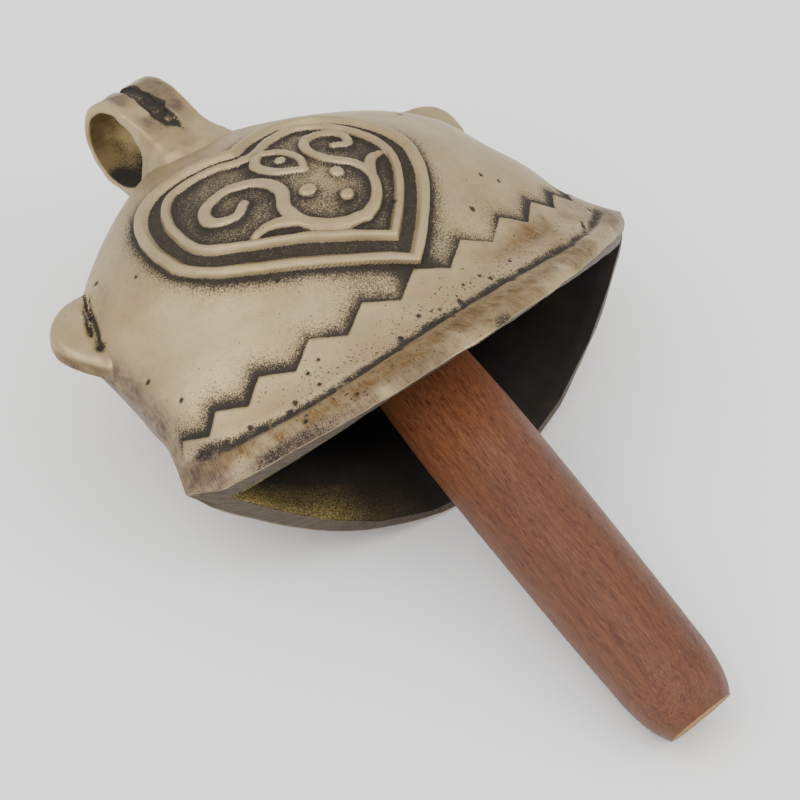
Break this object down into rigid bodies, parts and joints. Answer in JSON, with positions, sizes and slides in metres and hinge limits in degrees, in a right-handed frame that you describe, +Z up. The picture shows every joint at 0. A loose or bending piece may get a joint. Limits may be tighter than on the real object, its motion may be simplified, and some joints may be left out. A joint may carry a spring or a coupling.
{
  "type": "cowbell",
  "caption": "Flared cast cowbell with a raised heart border, hanger loop, side ears and a long wooden clapper on an inner staple and link.",
  "frame": {"origin": "centre of the bounding box's base, on the surface that the bell and the free end of its clapper lie on", "axes": "the bell lies on its back: +Z up, out of the decorated front; +X across the mouth, towards the right ear; +Y from the mouth towards the hanger loop"},
  "size_m": [0.116, 0.1796, 0.0526],
  "materials": {
    "bell_bronze": "antique cast, polished high spots, dark patina in the recesses",
    "loop_bronze": "antique cast, worn bright on the edges",
    "ear_bronze": "antique cast, worn",
    "staple_iron": "dull, dark",
    "fitting_steel": "dull drawn wire",
    "clapper_wood": "reddish brown, satin, fine dark pores along its length"
  },
  "bodies": {
    "bell": {"bell_shell": "bell_bronze", "hanger_loop": "loop_bronze", "left_ear": "ear_bronze", "right_ear": "ear_bronze", "crown_staple": "staple_iron"},
    "link": {"link_ring": "fitting_steel"},
    "clapper": {"screw_eye": "fitting_steel", "clapper_rod": "clapper_wood"}
  },
  "joints": [
    {"name": "link_swing", "type": "hinge", "parent": "bell", "child": "link", "pos_m": [0.005, 0.05489, 0.02928], "axis": [1, 0, 0], "range_deg": [-6.5, 0]},
    {"name": "clapper_sway", "type": "hinge", "parent": "link", "child": "clapper", "pos_m": [0.005, 0.03116, 0.02569], "axis": [0, -0.1493, 0.9888], "range_deg": [-2, 26]}
  ]
}
